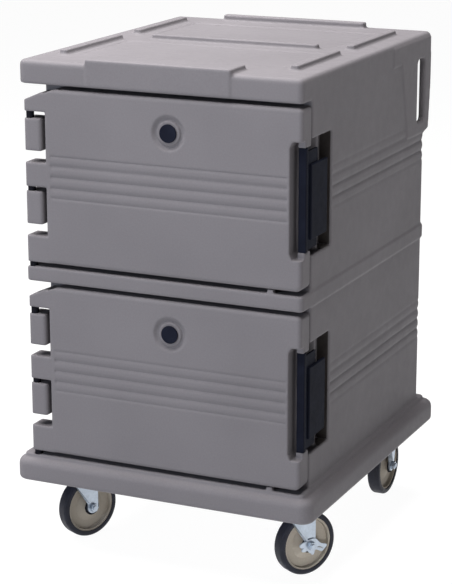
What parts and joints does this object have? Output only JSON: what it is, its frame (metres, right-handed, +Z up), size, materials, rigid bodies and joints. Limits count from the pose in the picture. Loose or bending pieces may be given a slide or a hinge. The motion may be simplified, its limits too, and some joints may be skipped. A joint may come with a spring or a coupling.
{
  "type": "enclosed meal tray cart",
  "caption": "Insulated double-walled food cart with hinged doors over railed compartments, corner latches, vents, a bumper base, swivel and rigid casters.",
  "frame": {"origin": "on the floor, under the centre of the bumper base", "axes": "+X to the right as seen from the doors, +Y from the doors to the rear, +Z up"},
  "size_m": [0.748, 0.838, 1.198],
  "materials": {
    "moulded_shell": "satin, finely mottled moulded polyethylene",
    "insulation_foam": "matt closed-cell foam",
    "seal": "matt",
    "black_nylon": "satin",
    "latch_plastic": "satin, fine grain",
    "tyre": "satin",
    "hub_plastic": "satin",
    "zinc": "bright zinc plate"
  },
  "bodies": {
    "cabinet": {"cabinet_shell": "moulded_shell", "cabinet_insulation": "insulation_foam", "caster_bolts": "zinc", "front_left_plate": "zinc", "front_left_kingpin": "zinc", "front_right_plate": "zinc", "front_right_kingpin": "zinc", "rear_left_fork": "zinc", "rear_left_axle": "zinc", "rear_left_bushing": "zinc", "rear_left_guards": "black_nylon", "rear_right_fork": "zinc", "rear_right_axle": "zinc", "rear_right_bushing": "zinc", "rear_right_guards": "black_nylon"},
    "upper_door": {"upper_door_shell": "moulded_shell", "upper_door_insulation": "insulation_foam", "upper_door_seal": "seal", "upper_hinge_pins": "black_nylon", "upper_latch_pin": "zinc", "upper_vent_seal": "seal"},
    "upper_latch": {"upper_latch_handle": "latch_plastic"},
    "upper_vent": {"upper_vent_cap": "latch_plastic"},
    "lower_door": {"lower_door_shell": "moulded_shell", "lower_door_insulation": "insulation_foam", "lower_door_seal": "seal", "lower_hinge_pins": "black_nylon", "lower_latch_pin": "zinc", "lower_vent_seal": "seal"},
    "lower_latch": {"lower_latch_handle": "latch_plastic"},
    "lower_vent": {"lower_vent_cap": "latch_plastic"},
    "front_left_swivel": {"front_left_balls": "zinc", "front_left_fork": "zinc", "front_left_axle": "zinc", "front_left_bushing": "zinc", "front_left_guards": "black_nylon"},
    "front_left_wheel": {"front_left_hub": "hub_plastic", "front_left_tyre": "tyre"},
    "front_right_swivel": {"front_right_balls": "zinc", "front_right_fork": "zinc", "front_right_axle": "zinc", "front_right_bushing": "zinc", "front_right_guards": "black_nylon"},
    "front_right_wheel": {"front_right_hub": "hub_plastic", "front_right_tyre": "tyre"},
    "brake": {"brake_lever": "zinc"},
    "rear_left_wheel": {"rear_left_hub": "hub_plastic", "rear_left_tyre": "tyre"},
    "rear_right_wheel": {"rear_right_hub": "hub_plastic", "rear_right_tyre": "tyre"}
  },
  "joints": [
    {"name": "upper_door_swing", "type": "hinge", "parent": "cabinet", "child": "upper_door", "pos_m": [-0.324, -0.391, 0.9215], "axis": [0, 0, -1], "range_deg": [0, 270]},
    {"name": "upper_latch_turn", "type": "hinge", "parent": "upper_door", "child": "upper_latch", "pos_m": [0.335, -0.375, 0.92], "axis": [0, 0, -1], "range_deg": [0, 40]},
    {"name": "upper_vent_turn", "type": "hinge", "parent": "upper_door", "child": "upper_vent", "pos_m": [0.0265, -0.404, 1.045], "axis": [0, 1, 0], "range_deg": [0, 90]},
    {"name": "lower_door_swing", "type": "hinge", "parent": "cabinet", "child": "lower_door", "pos_m": [-0.324, -0.391, 0.4665], "axis": [0, 0, -1], "range_deg": [0, 270]},
    {"name": "lower_latch_turn", "type": "hinge", "parent": "lower_door", "child": "lower_latch", "pos_m": [0.335, -0.375, 0.465], "axis": [0, 0, -1], "range_deg": [0, 40]},
    {"name": "lower_vent_turn", "type": "hinge", "parent": "lower_door", "child": "lower_vent", "pos_m": [0.0265, -0.404, 0.59], "axis": [0, 1, 0], "range_deg": [0, 90]},
    {"name": "front_left_swivel_turn", "type": "hinge", "parent": "cabinet", "child": "front_left_swivel", "pos_m": [-0.302, -0.262, 0.18], "axis": [0, 0, 1], "continuous": true},
    {"name": "front_left_wheel_spin", "type": "hinge", "parent": "front_left_swivel", "child": "front_left_wheel", "pos_m": [-0.28594, -0.22978, 0.0762], "axis": [-0.8949, 0.4462, 0], "continuous": true},
    {"name": "front_right_swivel_turn", "type": "hinge", "parent": "cabinet", "child": "front_right_swivel", "pos_m": [0.266, -0.262, 0.18], "axis": [0, 0, 1], "continuous": true},
    {"name": "front_right_wheel_spin", "type": "hinge", "parent": "front_right_swivel", "child": "front_right_wheel", "pos_m": [0.28534, -0.23164, 0.0762], "axis": [-0.8434, 0.5373, 0], "continuous": true},
    {"name": "brake_press", "type": "hinge", "parent": "front_right_swivel", "child": "brake", "pos_m": [0.28534, -0.23164, 0.0762], "axis": [-0.8434, 0.5373, 0], "range_deg": [0, 15]},
    {"name": "rear_left_wheel_spin", "type": "hinge", "parent": "cabinet", "child": "rear_left_wheel", "pos_m": [-0.302, 0.342, 0.0762], "axis": [1, 0, 0], "continuous": true},
    {"name": "rear_right_wheel_spin", "type": "hinge", "parent": "cabinet", "child": "rear_right_wheel", "pos_m": [0.266, 0.342, 0.0762], "axis": [1, 0, 0], "continuous": true}
  ]
}
